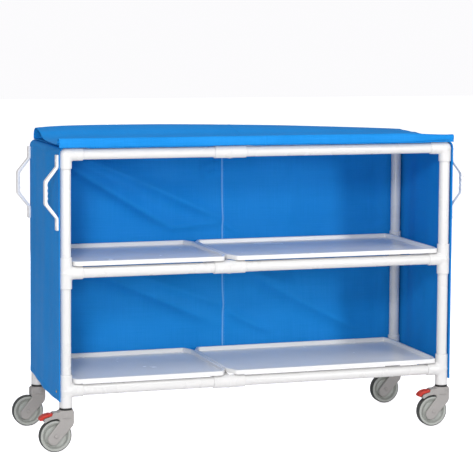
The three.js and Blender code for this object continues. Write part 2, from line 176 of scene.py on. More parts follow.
def moulded(name, colour, roughness, grain, scuff, scuff_colour, patchy=0.25):
    """Moulded plastic: fine surface grain, patches of different gloss, and thin scuffs in streaks."""
    material = new_material(name, colour, roughness)
    n = Nodes(material)
    place = n.place()
    patches = n.noise(place, 9.0, 4.0)
    n.link(n.range(patches, 0.3, 0.7, roughness * (1 - patchy), roughness * (1 + patchy)), "Roughness")
    scratches = n.noise(n.stretched(place, (14, 14, 160)), 5.0, 5.0, 0.7)
    worn = n.range(scratches, 0.62, 0.78, 0.0, scuff)
    tint = n.range(n.noise(place, 2.2, 2.0), 0.35, 0.65, 0.0, 0.05)
    base = n.mix(tint, (*colour, 1), (*(c * 0.9 for c in colour), 1))
    n.link(n.mix(worn, base, (*scuff_colour, 1)), "Base Color")
    n.bump(n.noise(place, 900.0, 2.0), grain, 0.0002)
    return material


def fabric(name, colour, light):
    """Coated woven nylon with hardly any gloss: a plain weave in the surface and slubs that run both ways."""
    material = new_material(name, colour, 0.5, IOR=1.45)
    n = Nodes(material)
    place = n.place("UV")
    parts = n.add("SeparateXYZ", Vector=place)
    weave_pitch, gloss = 1.1 * MM, 0.04
    thread = 2 * math.pi / weave_pitch
    warp = n.math("SINE", n.math("MULTIPLY", parts.outputs[0], thread))
    weft = n.math("SINE", n.math("MULTIPLY", parts.outputs[1], thread))
    weave = n.math("MULTIPLY", warp, weft)
    slub_up = n.noise(n.stretched(place, (330, 5, 1)), 1.0, 4.0, 0.7)
    slub_across = n.noise(n.stretched(place, (5, 330, 1)), 1.0, 4.0, 0.7)
    slubs = n.math("ADD", slub_up, slub_across)
    clouds = n.noise(place, 3.0, 3.0)
    shade = n.range(n.math("ADD", slubs, clouds), 1.15, 1.85, 0.0, 1.0)
    n.link(n.mix(shade, (*colour, 1), (*light, 1)), "Base Color")
    n.link(n.range(slubs, 0.8, 1.2, 0.42, 0.58), "Roughness")
    n.shader.inputs["Specular IOR Level"].default_value = gloss
    height = n.math("ADD", n.math("MULTIPLY", weave, 0.25), n.math("MULTIPLY", slubs, 0.6))
    n.bump(height, 0.35, 0.0004)
    return material


def plated(name, colour, roughness):
    """Zinc-plated steel with fine turning marks and dull patches."""
    material = new_material(name, colour, roughness, Metallic=1.0)
    n = Nodes(material)
    place = n.place()
    n.link(n.range(n.noise(place, 60.0, 4.0), 0.3, 0.7, roughness * 0.7, roughness * 1.6), "Roughness")
    n.bump(n.noise(n.stretched(place, (1, 8, 1)), 1500.0, 2.0), 0.2, 0.0001)
    return material


MATERIALS = {
    "pvc": moulded("white_pvc", (0.71, 0.705, 0.70), 0.3, 0.15, 0.05, (0.63, 0.63, 0.64)),
    "tray_plastic": moulded("tray_white", (0.77, 0.77, 0.77), 0.26, 0.2, 0.0, (0.72, 0.73, 0.76), 0.06),
    "handle_plastic": moulded("handle_white", (0.83, 0.82, 0.82), 0.38, 0.3, 0.15, (0.6, 0.6, 0.6)),
    "caster_plastic": moulded("caster_grey", (0.33, 0.315, 0.305), 0.5, 0.5, 0.3, (0.43, 0.42, 0.4)),
    "tyre_dark": moulded("tyre_dark", (0.05, 0.055, 0.052), 0.65, 0.6, 0.5, (0.14, 0.14, 0.13)),
    "wheel_hub": moulded("hub_grey", (0.37, 0.385, 0.36), 0.45, 0.3, 0.2, (0.3, 0.31, 0.29)),
    "pedal_plastic": moulded("pedal_red", (0.47, 0.022, 0.01), 0.45, 0.4, 0.2, (0.35, 0.02, 0.01)),
    "black_plastic": moulded("stem_black", (0.015, 0.015, 0.016), 0.45, 0.4, 0.3, (0.08, 0.08, 0.08)),
    "zinc_steel": plated("zinc_plate", (0.34, 0.34, 0.35), 0.5),
    "brass": plated("brass_plate", (0.62, 0.42, 0.16), 0.3),
    "cover_fabric": fabric("cover_blue", (0.008, 0.215, 0.61), (0.018, 0.26, 0.70)),
    "seam_tape": fabric("tape_blue", (0.12, 0.36, 0.74), (0.16, 0.41, 0.80)),
    "seam_thread": fabric("thread_blue", (0.2, 0.45, 0.9), (0.3, 0.55, 0.95)),
}


# ---------------------------------------------------------------- making pieces
def add_piece(name, verts, faces, body, finish, replaced=(), slot=None, uv=None):
    """Makes a smooth-shaded mesh piece that rides on its body's empty, or on none if no body is given."""
    mesh = bpy.data.meshes.new(name)
    mesh.from_pydata(np.asarray(verts).tolist(), [], [list(map(int, f)) for f in faces])
    mesh.validate()
    for polygon in mesh.polygons:
        polygon.use_smooth = True
    if uv is not None:
        layer = mesh.uv_layers.new(name="UVMap")
        index = np.zeros(len(mesh.loops), int)
        mesh.loops.foreach_get("vertex_index", index)
        layer.data.foreach_set("uv", np.asarray(uv, np.float32)[index].ravel())
    piece = bpy.data.objects.new(name, mesh)
    bpy.context.scene.collection.objects.link(piece)
    mesh.materials.append(MATERIALS[finish])
    if body:
        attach(piece, body)
    if replaced:
        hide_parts(*replaced)
    return piece


def sharpen(piece, degrees=40):
    """Keeps hard edges hard on a turned or plated piece."""
    piece.data.set_sharp_from_angle(angle=math.radians(degrees))
    return piece


def placed(verts, faces, move=(0, 0, 0), mirror=(1, 1, 1)):
    """The same shape moved and, where mirror holds -1, flipped, with its faces still pointing out."""
    new_verts = np.asarray(verts) * np.array(mirror) + np.array(move)
    if np.prod(mirror) < 0:
        faces = [tuple(reversed(f)) for f in faces]
    return new_verts, faces


def turned(name, shape, place, body, finish, replaced=(), slot=None, degrees=40):
    """A lathed piece at its place, with its hard edges kept."""
    return sharpen(add_piece(name, *placed(*shape, place), body, finish, replaced, slot), degrees)


def in_metres(points):
    return [(a * MM, b * MM) for a, b in points]


def lathe(profile, axis, sides=48):
    """A closed (radius, height) profile turned about one axis. A point on the axis becomes a pole."""
    verts, rings = [], []
    for radius, height in profile:
        if radius < 1e-7:
            rings.append([len(verts)] * sides)
            verts.append((0, 0, height))
            continue
        rings.append(list(range(len(verts), len(verts) + sides)))
        for i in range(sides):
            angle = 2 * math.pi * i / sides
            verts.append((radius * math.cos(angle), radius * math.sin(angle), height))
    faces = []
    starts_and_ends_on_axis = profile[0][0] < 1e-7 and profile[-1][0] < 1e-7
    pairs = list(zip(rings, rings[1:]))
    if not starts_and_ends_on_axis:
        pairs.append((rings[-1], rings[0]))
    for low, high in pairs:
        for i in range(sides):
            j = (i + 1) % sides
            face = tuple(dict.fromkeys((low[i], low[j], high[j], high[i])))
            if len(face) > 2:
                faces.append(face)
    turn = {"x": (2, 0, 1), "y": (1, 2, 0), "z": (0, 1, 2)}[axis]
    return np.array(verts)[:, turn], faces


def rounded_bar(radius, low, high, edge):
    """Lathe profile of a solid bar with rounded ends."""
    steps = 4
    angles = [math.pi / 2 * i / steps for i in range(steps + 1)]
    bottom = [(radius - edge + edge * math.sin(a), low + edge - edge * math.cos(a)) for a in angles]
    top = [(radius - edge + edge * math.cos(a), high - edge + edge * math.sin(a)) for a in angles]
    return [(0, low), *bottom, *top, (0, high)]


# ---------------------------------------------------------------- distance fields
def size_of(vectors):
    return np.sqrt((vectors * vectors).sum(-1))


def rounded(distances, edge):
    """Distance to a body bounded by several distances at once, with its outer edges rounded."""
    stack = np.stack(distances, -1) + edge
    return np.minimum(stack.max(-1), 0) + size_of(np.maximum(stack, 0)) - edge


def bar(p, start, end, radius, edge=1.2 * MM):
    start, end = np.array(start, float), np.array(end, float)
    span = np.linalg.norm(end - start)
    axis = (end - start) / span
    along = (p - start) @ axis
    radial = size_of(p - start - along[:, None] * axis)
    return rounded((radial - radius, np.abs(along - span / 2) - span / 2), edge)


def polygon_distance(p, outline):
    """Signed distance in the plane to a closed outline, negative inside."""
    best = np.full(len(p), np.inf)
    inside = np.zeros(len(p), bool)
    for a, b in zip(outline, np.roll(outline, -1, axis=0)):
        edge, offset = b - a, p - a
        share = np.clip(offset @ edge / (edge @ edge), 0, 1)
        best = np.minimum(best, size_of(offset - share[:, None] * edge))
        crosses = (p[:, 1] >= a[1]) != (p[:, 1] >= b[1])
        side = edge[0] * offset[:, 1] - edge[1] * offset[:, 0]
        inside ^= crosses & ((side > 0) == (b[1] > a[1]))
    return np.where(inside, -best, best)


def plate(p, outline, half_width, edge):
    """An outline in x and z with a width centred on y."""
    flat = polygon_distance(p[:, [0, 2]], outline)
    return rounded((flat, np.abs(p[:, 1]) - half_width), edge)


def join(a, b, fillet):
    share = np.clip(0.5 + 0.5 * (b - a) / fillet, 0, 1)
    return b * (1 - share) + a * share - fillet * share * (1 - share)


def cut(a, b, fillet):
    return -join(-a, b, fillet)


def slope(distance, p, step=0.05 * MM):
    moves = np.eye(3) * step
    grad = np.stack([distance(p + m) - distance(p - m) for m in moves], -1)
    return grad / np.maximum(size_of(grad), 1e-12)[:, None]


def settle(distance, verts, rounds):
    for _ in range(rounds):
        verts = verts - distance(verts)[:, None] * slope(distance, verts)
    return verts


def relax(verts, faces, share=0.6):
    """Moves each point towards the middle of its neighbours."""
    total, count = np.zeros_like(verts), np.zeros(len(verts))
    for k in range(4):
        for neighbour in (1, 3):
            np.add.at(total, faces[:, k], verts[faces[:, (k + neighbour) % 4]])
            np.add.at(count, faces[:, k], 1)
    return verts + share * (total / count[:, None] - verts)


def skin(distance, low, high, cell):
    """Quads on the zero surface of a distance field, one point to each grid cell that the surface crosses."""
    low = np.array(low, float) - 2 * cell
    counts = np.ceil((np.array(high) - low) / cell).astype(int) + 3
    axes = [low[i] + cell * np.arange(counts[i]) for i in range(3)]
    grid = np.stack(np.meshgrid(*axes, indexing="ij"), -1)
    inside = (distance(grid.reshape(-1, 3)) < 0).reshape(counts)
    corners = [
        inside[i : counts[0] - 1 + i, j : counts[1] - 1 + j, k : counts[2] - 1 + k]
        for i, j, k in product((0, 1), repeat=3)
    ]
    mixed = np.any(corners, 0) & ~np.all(corners, 0)
    index = np.full(mixed.shape, -1)
    index[mixed] = np.arange(mixed.sum())
    verts = low + cell * (np.argwhere(mixed) + 0.5)
    quads = []
    for axis in range(3):
        u, v = np.eye(3, dtype=int)[(axis + 1) % 3], np.eye(3, dtype=int)[(axis + 2) % 3]
        first = np.take(inside, np.arange(counts[axis] - 1), axis)
        second = np.take(inside, np.arange(1, counts[axis]), axis)
        edges = np.argwhere(first != second)
        ring = [index[tuple(cells.T)] for cells in (edges - u - v, edges - v, edges, edges - u)]
        quad = np.stack(ring, 1)
        outward = first[tuple(edges.T)]
        quads.append(np.where(outward[:, None], quad, quad[:, ::-1]))
    faces = np.concatenate(quads)
    verts = settle(distance, verts, 3)
    for _ in range(4):
        verts = settle(distance, relax(verts, faces), 1)
    return settle(distance, verts, 2), faces


# ---------------------------------------------------------------- pipe frame
def pipe(name, axis, node, parts=None):
    """A smooth pipe in the place of a CAD pipe."""
    low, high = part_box(node)
    if parts:
        low, high = parts
    middle = (low + high) / 2
    span = (high - low)["xyz".index(axis)]
    shape = lathe(rounded_bar(PIPE_RADIUS, -span / 2, span / 2, 1.5 * MM), axis)
    turned(name, shape, middle, "trolley", "pvc", [node])


def fitting_skin(legs, ball=False):
    """Legs that leave one centre, as (direction, length) pairs, with moulded fillets where they meet."""
    fillet = 7 * MM

    def distance(p):
        whole = None
        for direction, length in legs:
            end = np.array(direction, float) * length
            leg = bar(p, (0, 0, 0), end, FITTING_RADIUS, 1.6 * MM)
            whole = leg if whole is None else join(whole, leg, fillet)
        if ball:
            whole = join(whole, size_of(p) - FITTING_RADIUS, fillet / 2)
        return whole

    reach = np.array([np.array(d) * l for d, l in legs])
    low = np.minimum(reach.min(0), -FITTING_RADIUS)
    high = np.maximum(reach.max(0), FITTING_RADIUS)
    return skin(distance, low, high, 2.6 * MM)


def build_frame():
    for corner in CORNERS:
        pipe(f"pipe_post_{corner}", "z", f"post_{corner}")
    for level in LEVELS:
        for side in ("front", "back"):
            pipe(f"pipe_{side}_{level}", "x", f"rail_{side}_{level}")
        for side in ("left", "right"):
            pipe(f"pipe_{side}_{level}", "y", f"side_rail_{side}_{level}")
        low = Vector((CROSS_X - PIPE_RADIUS, FRONT_Y, RAIL_Z[level] - PIPE_RADIUS))
        high = Vector((CROSS_X + PIPE_RADIUS, BACK_Y, RAIL_Z[level] + PIPE_RADIUS))
        pipe(f"pipe_cross_{level}", "y", f"cross_member_{level}", (low, high))

    outlets = [((1, 0, 0), OUTLET), ((0, 1, 0), OUTLET)]
    rise, down = ((0, 0, 1), SLEEVE_HALF), (0, 0, -1)
    kinds = {
        "elbow": ("top", fitting_skin([*outlets, (down, ELBOW_DROP)], ball=True)),
        "tee_middle": ("middle", fitting_skin([rise, (down, SLEEVE_HALF), *outlets])),
        "tee_bottom": ("bottom", fitting_skin([rise, (down, BOTTOM_TEE_DROP), *outlets])),
    }
    for corner, (sx, sy) in CORNERS.items():
        x, y = post_axis(corner)
        for kind, (level, shape) in kinds.items():
            verts, faces = placed(*shape, (x, y, RAIL_Z[level]), (-sx, -sy, 1))
            add_piece(f"fitting_{kind}_{corner}", verts, faces, "trolley", "pvc", [f"{kind}_{corner}"])

    cross_legs = [((1, 0, 0), CROSS_SLEEVE_HALF), ((-1, 0, 0), CROSS_SLEEVE_HALF), ((0, 1, 0), OUTLET)]
    cross_tee = fitting_skin(cross_legs)
    for level in LEVELS:
        for side, y, flip in (("front", FRONT_Y, 1), ("back", BACK_Y, -1)):
            verts, faces = placed(*cross_tee, (CROSS_X, y, RAIL_Z[level]), (1, flip, 1))
            name = f"fitting_tee_{side}_{level}"
            add_piece(name, verts, faces, "trolley", "pvc", [f"cross_member_{level}"])


# ---------------------------------------------------------------- trays
def tray_core(low_x, high_x, half_depth, cut_left, cut_right, cut_depth, inset):
    """The tray's eight-cornered outline drawn in by inset, and the normals of its edges."""
    corners = np.array(
        [
            (low_x + cut_left, -half_depth),
            (high_x - cut_right, -half_depth),
            (high_x, cut_depth - half_depth),
            (high_x, half_depth - cut_depth),
            (high_x - cut_right, half_depth),
            (low_x + cut_left, half_depth),
            (low_x, half_depth - cut_depth),
            (low_x, cut_depth - half_depth),
        ]
    )
    edges = np.roll(corners, -1, axis=0) - corners
    normals = np.stack([edges[:, 1], -edges[:, 0]], -1) / size_of(edges)[:, None]
    core = []
    for i, corner in enumerate(corners):
        lines = np.array([normals[i - 1], normals[i]])
        core.append(np.linalg.solve(lines, lines @ corner - inset))
    return np.array(core), normals


def tray_section():
    """Cross-section from the lip's foot, over the rim and down to the floor, then back under it.

    Each point is (distance in from the outline, height above the rail axis), in millimetres.
    """
    arc = [math.radians(a) for a in (0, 30, 60, 90)]
    over = [(3.5 - 3.5 * math.cos(a), 43.5 + 3.5 * math.sin(a)) for a in arc]
    inner = [(9.5 + 3.5 * math.sin(a), 43.5 + 3.5 * math.cos(a)) for a in arc]
    fillet = [(17 - 4 * math.cos(a), 36 - 4 * math.sin(a)) for a in arc]
    top = [(0.3, 27.2), (0, 28.2), *over, *inner, *fillet]
    under = [(17, 25.6), (13, 26.2), (10.8, 28.5), (10.5, 42), (9, 44.3)]
    under += [(4.5, 44.3), (2.8, 42.5), (2.6, 28.2), (2.2, 27.2)]
    return top, under


def tray(name, node, level, cut_left, cut_right):
    low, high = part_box(node)
    core_inset = 18 * MM
    core, normals = tray_core(low.x, high.x, (high.y - low.y) / 2, cut_left, cut_right, 58 * MM, core_inset)
    corner_steps, rim_flex = 5, 2.5 * MM
    spots, directions = [], []
    for i in range(len(core)):
        first = math.atan2(normals[i - 1][1], normals[i - 1][0])
        turn = (math.atan2(normals[i][1], normals[i][0]) - first) % (2 * math.pi)
        for k in range(corner_steps + 1):
            angle = first + turn * k / corner_steps
            spots.append(core[i])
            directions.append((math.cos(angle), math.sin(angle)))
    spots, directions = np.array(spots), np.array(directions)
    top, under = tray_section()
    rings = []
    for inset, height in [*top, *under]:
        flat = spots + directions * (core_inset - inset * MM)
        flex = rim_flex * smooth(height, 33, 42) * flat[:, 1] / high.y
        rings.append(np.column_stack([flat, RAIL_Z[level] + height * MM + flex]))
    count = len(spots)
    verts = np.concatenate(rings)
    faces = []
    for r in range(len(rings)):
        if r == len(top) - 1:
            continue
        s = (r + 1) % len(rings)
        for i in range(count):
            j = (i + 1) % count
            faces.append((r * count + i, r * count + j, s * count + j, s * count + i))
    floor_ring = (len(top) - 1) * count
    faces.append(tuple(range(floor_ring, floor_ring + count)))
    under_ring = len(top) * count
    faces.append(tuple(reversed(range(under_ring, under_ring + count))))
    return sharpen(add_piece(name, verts, faces, "trolley", "tray_plastic", [node]), 30)


def build_trays():
    post_cut, seam_cut = 14 * MM, 26 * MM
    for level in ("middle", "bottom"):
        tray(f"shelf_left_{level}", f"tray_left_{level}", level, post_cut, seam_cut)
        tray(f"shelf_right_{level}", f"tray_right_{level}", level, seam_cut, post_cut)


# ---------------------------------------------------------------- sheets of fabric
CLOTH = 1.4 * MM
HEM_WIDTH = 20 * MM
HEM_THICKNESS = 3.2 * MM
# Places in from a hemmed edge that give the hem its step and its stitched groove.
HEM_OFFSETS = np.array([1.2 * MM, HEM_WIDTH - 4 * MM, HEM_WIDTH - 3 * MM, HEM_WIDTH - 2 * MM, HEM_WIDTH])


def smooth(value, low, high):
    """0 below low, 1 above high and an even S between them. Low may be the greater of the two."""
    share = np.clip((value - low) / (high - low), 0, 1)
    return share * share * (3 - 2 * share)


def between(value, low, high, start, full):
    """1 well inside a span and 0 outside it: it grows from start to full, measured in from both ends."""
    return smooth(value, low + start, low + full) * smooth(value, high - start, high - full)


def bumps(a, b, seed, scale):
    """Soft irregular waves over a sheet, between about -1 and 1."""
    rng = np.random.default_rng(seed)
    total = np.zeros(np.broadcast(a, b).shape)
    for _ in range(9):
        heading = rng.uniform(0, math.pi)
        pitch = scale * rng.uniform(0.6, 1.8)
        phase = rng.uniform(0, 2 * math.pi)
        total = total + np.sin((a * math.cos(heading) + b * math.sin(heading)) * 2 * math.pi / pitch + phase)
    return total / 5


def stations(low, high, step, extra=()):
    """Evenly spaced values from low to high, with extra ones added where a seam or hem needs them."""
    even = np.linspace(low, high, max(2, round((high - low) / step) + 1))
    inside = [value for value in extra if low < value < high]
    spots = np.unique(np.concatenate([even, inside]))
    keep = [True]
    for before, here in zip(spots, spots[1:]):
        keep.append(here - before > 0.3 * MM)
    return spots[np.array(keep)]


def hem_stations(low, high):
    """Extra stations for the folded hems at both ends of a span."""
    return [*(low + HEM_OFFSETS), *(high - HEM_OFFSETS)]


def hem_thickness(distance):
    """Thickness at a distance in from a hemmed edge."""
    folded = smooth(distance, HEM_WIDTH, HEM_WIDTH - 1.5 * MM)
    groove = 0.9 * MM * np.exp(-(((distance - HEM_WIDTH + 3 * MM) / (0.9 * MM)) ** 2))
    edge = smooth(distance, -0.5 * MM, 1.2 * MM)
    return (CLOTH + (HEM_THICKNESS - CLOTH) * folded - groove) * (0.35 + 0.65 * edge)


def grid_of(*values):
    """Coordinates of any shapes that fit together, as one grid of points."""
    return np.stack(np.broadcast_arrays(*values), -1)


def sheet_normals(mid):
    along, across = np.gradient(mid, axis=0), np.gradient(mid, axis=1)
    normals = np.cross(along, across)
    return normals / np.maximum(size_of(normals), 1e-12)[..., None]


def sheet(name, mid, thickness, body, finish="cover_fabric", normals=None, **options):
    """A closed sheet about a grid of middle points. Its outer side lies where the first grid direction
    turned onto the second by the right-hand rule points."""
    rows, columns = mid.shape[:2]
    if normals is None:
        normals = sheet_normals(mid)
    half = (np.broadcast_to(thickness, (rows, columns)) / 2)[..., None]
    verts = np.concatenate([(mid + normals * half).reshape(-1, 3), (mid - normals * half).reshape(-1, 3)])
    outer = np.arange(rows * columns).reshape(rows, columns)
    inner = outer + rows * columns

    def quads(a, b, c, d):
        return np.stack([a.ravel(), b.ravel(), c.ravel(), d.ravel()], 1)

    faces = np.concatenate(
        [
            quads(outer[:-1, :-1], outer[1:, :-1], outer[1:, 1:], outer[:-1, 1:]),
            quads(inner[:-1, :-1], inner[:-1, 1:], inner[1:, 1:], inner[1:, :-1]),
            quads(outer[:-1, 0], inner[:-1, 0], inner[1:, 0], outer[1:, 0]),
            quads(outer[1:, -1], inner[1:, -1], inner[:-1, -1], outer[:-1, -1]),
            quads(outer[0, :-1], outer[0, 1:], inner[0, 1:], inner[0, :-1]),
            quads(outer[-1, 1:], outer[-1, :-1], inner[-1, :-1], inner[-1, 1:]),
        ]
    )
    lengths = size_of(np.diff(mid, axis=0)).mean(1)
    widths = size_of(np.diff(mid, axis=1)).mean(0)
    u = np.concatenate([[0], np.cumsum(lengths)])
    v = np.concatenate([[0], np.cumsum(widths)])
    uv = grid_of(u[:, None], v[None, :]).reshape(-1, 2)
    return sharpen(add_piece(name, verts, faces, body, finish, uv=np.tile(uv, (2, 1)), **options), 55)


def stitches(name, path, normals, body, width=0.8 * MM):
    """A row of short raised stitches laid along a path on a sheet, each a pointed lozenge."""
    pitch = 6 * MM
    steps = size_of(np.diff(path, axis=0))
    reached = np.concatenate([[0], np.cumsum(steps)])
    count = int(reached[-1] / pitch)
    centres = (np.arange(count) + 0.5) * reached[-1] / count

    def at(values, where):
        return np.stack([np.interp(where, reached, values[:, i]) for i in range(3)], -1)

    long_half = 0.34 * pitch
    start, middle, end = (at(path, centres + shift) for shift in (-long_half, 0, long_half))
    up = at(normals, centres)
    side = np.cross(end - start, up)
    side = side / size_of(side)[:, None] * width / 2
    rise = up * width * 0.45
    points = np.stack([start, middle + side, end, middle - side, middle + rise, middle - rise], 1)
    around = [(i, (i + 1) % 4) for i in range(4)]
    pattern = np.array([(a, b, 4) for a, b in around] + [(b, a, 5) for a, b in around])
    faces = (pattern[None] + 6 * np.arange(count)[:, None, None]).reshape(-1, 3)
    return add_piece(name, points.reshape(-1, 3), faces, body, "seam_thread", slot="cover_fabric")


# ---------------------------------------------------------------- fabric cover
COVER_OFFSET = 27 * MM  # from the pipe axes to the middle of the cloth
COVER_CORNER = 28 * MM  # radius of the upright back corners
COVER_EDGE = 24 * MM  # radius along the top edges
COVER_FRONT = FRONT_Y - 20.5 * MM
COVER_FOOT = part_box("cover_shell")[0].z
COVER_TOP = RAIL_Z["top"] + COVER_OFFSET
HINGE_Z = (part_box("flap_upper")[0].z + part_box("flap_upper")[1].z) / 2
SEAM_X = MIDDLE_X + 8 * MM
SEAM_STATIONS = [SEAM_X + shift * MM for shift in (-9, -8, -7, 0, 7, 8, 9)]

# Creases of the back panel: start, end, how far they stand forward, and their reach above and below.
# Places are (from the trolley's middle, up from the shelf's rail axis) in metres, the rest in millimetres.
UPPER_CREASES = [
    ((-0.700, 0.395), (-0.200, 0.090), 39, 55, 20.8),
    ((-0.640, 0.420), (-0.330, 0.285), 27, 45, 17.6),
    ((-0.360, 0.300), (0.010, 0.130), 33, 45, 24),
    ((-0.090, 0.352), (0.000, 0.372), 15, 8, 9.6),
    ((-0.080, 0.318), (0.000, 0.345), 15, 7, 9.6),
    ((0.020, 0.105), (0.110, 0.055), 18, 15, 11.2),
    ((-0.220, 0.100), (0.000, 0.115), 18, 25, 16),
    ((0.330, 0.420), (0.300, 0.060), 15, 45, 72),
]
LOWER_CREASES = [
    ((-0.640, 0.420), (-0.020, 0.150), 33, 60, 27.2),
    ((-0.420, 0.380), (0.060, 0.205), 24, 40, 24),
    ((0.160, 0.330), (0.680, 0.060), 30, 55, 28.8),
    ((0.040, 0.190), (0.240, 0.090), 21, 25, 17.6),
    ((0.020, 0.395), (0.330, 0.290), 18, 30, 20.8),
]


def crease(x, z, start, end, height, above, below):
    """A fold line that stands forward of the cloth, falling away gently above it and steeply below."""
    start, end = np.array(start), np.array(end)
    span = end - start
    length = np.hypot(*span)
    along = ((x - start[0]) * span[0] + (z - start[1]) * span[1]) / length**2
    beside = ((z - start[1]) * span[0] - (x - start[0]) * span[1]) / length
    beside = beside * (1 if span[0] >= 0 else -1)
    fade = smooth(along, -0.12, 0.15) * smooth(along, 1.15, 0.7)
    reach = np.where(beside > 0, above, below) * MM
    ridge = np.exp(-((np.sqrt(beside**2 + (3 * MM) ** 2) / reach) ** 1.25))
    return height * MM * fade * ridge


def back_folds(x, z):
    """How far the back panel bellies out from its rails, less what its creases draw it forward."""
    out = np.zeros(np.broadcast(x, z).shape)
    across = x - MIDDLE_X
    for below, above, creases in (("middle", "top", UPPER_CREASES), ("bottom", "middle", LOWER_CREASES)):
        low, high = RAIL_Z[below], RAIL_Z[above]
        room = smooth(z, low + 30 * MM, low + 130 * MM) * smooth(z, high - 22 * MM, high - 70 * MM)
        ends = between(x, LEFT_X, RIGHT_X, 24 * MM, 90 * MM)
        pinch = 1 - 0.75 * np.exp(-(((x - SEAM_X) / (70 * MM)) ** 2))
        belly = (9 + 2.5 * bumps(x, z, 4, 0.5)) * MM * pinch
        drawn = sum(crease(across, z - low, *fold) for fold in creases)
        out = out + room * ends * (belly - drawn + 0.5 * MM * bumps(x, z, 7, 0.09))
    return out


def side_folds(y, z, seed):
    """Soft upright folds of an end panel, only outward, and none where posts and rails hold it flat."""
    held = smooth(np.abs(y), BACK_Y - 20 * MM, BACK_Y - 80 * MM)
    lean = y + 0.06 * (z - RAIL_Z["middle"])
    broad = 2.2 * np.sin(lean * 2 * math.pi / 0.31 + seed)
    waves = 3.2 + broad + np.sin(lean * 2 * math.pi / 0.13 + 2 * seed)
    return held * (waves + 0.6 * bumps(y, z, seed, 0.25)) * MM


def wrap_plan():
    """The path of the end and back panels seen from above, from the right front edge round to the left one,
    as the middle of each corner arc or straight, its direction outwards, and the distance walked."""
    right, left = RIGHT_X + COVER_OFFSET - COVER_CORNER, LEFT_X - COVER_OFFSET + COVER_CORNER
    back = BACK_Y + COVER_OFFSET - COVER_CORNER
    side = stations(COVER_FRONT, back, 14 * MM, COVER_FRONT + HEM_OFFSETS)
    rear = stations(left, right, 9 * MM, SEAM_STATIONS)
    quarter = np.linspace(0, math.pi / 2, 9)[1:-1]
    core = [(right, y) for y in side] + [(right, back)] * len(quarter) + [(x, back) for x in rear[::-1]]
    core += [(left, back)] * len(quarter) + [(left, y) for y in side[::-1]]
    out = [(1.0, 0.0)] * len(side) + [(math.cos(a), math.sin(a)) for a in quarter] + [(0.0, 1.0)] * len(rear)
    out += [(-math.sin(a), math.cos(a)) for a in quarter] + [(-1.0, 0.0)] * len(side)
    return np.array(core), np.array(out)


def build_wrap():
    """Right end, back and left end in one piece, with its top edge turned in under the top panel."""
    core, out = wrap_plan()
    hem_rise = 30 * MM * smooth(core[:, 1], COVER_FRONT + 120 * MM, BACK_Y + 30 * MM)
    hem_rise = hem_rise * smooth(core[:, 0], LEFT_X + 500 * MM, LEFT_X) + COVER_FOOT
    upright = stations(0, 1, 0.0105, HEM_OFFSETS / (COVER_TOP - COVER_FOOT))
    crown = COVER_TOP - COVER_EDGE
    turned_in = 14 * MM
    rows = []
    for share in upright:
        height = hem_rise + (crown - hem_rise) * share
        depth = np.where(np.abs(out[:, 1]) > 0.99, back_folds(core[:, 0], height), 0)
        for sign, seed in ((1, 3), (-1, 8)):
            depth = depth + np.where(out[:, 0] * sign > 0.99, side_folds(core[:, 1], height, seed), 0)
        place = core + out * (COVER_CORNER + depth)[:, None]
        rows.append(np.column_stack([place, height]))
    for angle in np.linspace(0, math.pi / 2, 8)[1:]:
        place = core + out * (COVER_CORNER - COVER_EDGE * (1 - math.cos(angle)))
        rows.append(np.column_stack([place, np.full(len(core), crown + COVER_EDGE * math.sin(angle))]))
    under = core + out * (COVER_CORNER - COVER_EDGE)
    middle = np.array([MIDDLE_X, 0])
    sideways = np.where(np.abs(out) > 0.99, out, np.sign(core - middle) * 0.7)
    rows.append(np.column_stack([under - sideways * turned_in * 0.5, np.full(len(core), COVER_TOP)]))
    mid = np.stack(rows, 1)
    from_hem = mid[:, :, 2] - hem_rise[:, None]
    from_front = np.where(np.abs(out[:, 0]) > 0.99, core[:, 1] - COVER_FRONT, 1)
    thickness = np.maximum(hem_thickness(from_hem), hem_thickness(from_front)[:, None])
    sheet("cover_body", mid, thickness, "trolley", replaced=["cover_shell"])


def build_top():
    """The top panel, lapped over the turned-in edges and sagging a little between the rails."""
    inset = 21 * MM
    low_x, high_x = LEFT_X - COVER_OFFSET + inset, RIGHT_X + COVER_OFFSET - inset
    front, back = FRONT_Y - 25 * MM, BACK_Y + COVER_OFFSET - inset
    hems = hem_stations(low_x, high_x)
    x = stations(low_x, high_x, 16 * MM, [*hems, *SEAM_STATIONS])[::-1, None]
    y = stations(front, back, 16 * MM, hem_stations(front, back))[::-1][None, :]
    bays = smooth(np.abs(x - CROSS_X), 25 * MM, 200 * MM) * between(x, low_x, high_x, 40 * MM, 200 * MM)
    sag = bays * between(y, FRONT_Y, BACK_Y, 0, 150 * MM)
    sag = sag * (6 + 1.5 * bumps(x, y, 12, 0.3)) * MM
    lap = COVER_TOP + CLOTH + 0.2 * MM
    height = lap - smooth(y, front + 34 * MM, front + 12 * MM) * 1.4 * MM - sag
    mid = grid_of(x, y, height)
    edge = np.minimum(np.minimum(x - low_x, high_x - x), np.minimum(y - front + 1, back - y))
    sheet("cover_top", mid, 0.25 * CLOTH + 0.75 * np.minimum(hem_thickness(edge), 1.9 * MM), "trolley")


def seam_ridge(x, z):
    """The back seam's inner face, on which its tape and stitches lie."""
    return BACK_Y + COVER_OFFSET + back_folds(x, z) - CLOTH / 2


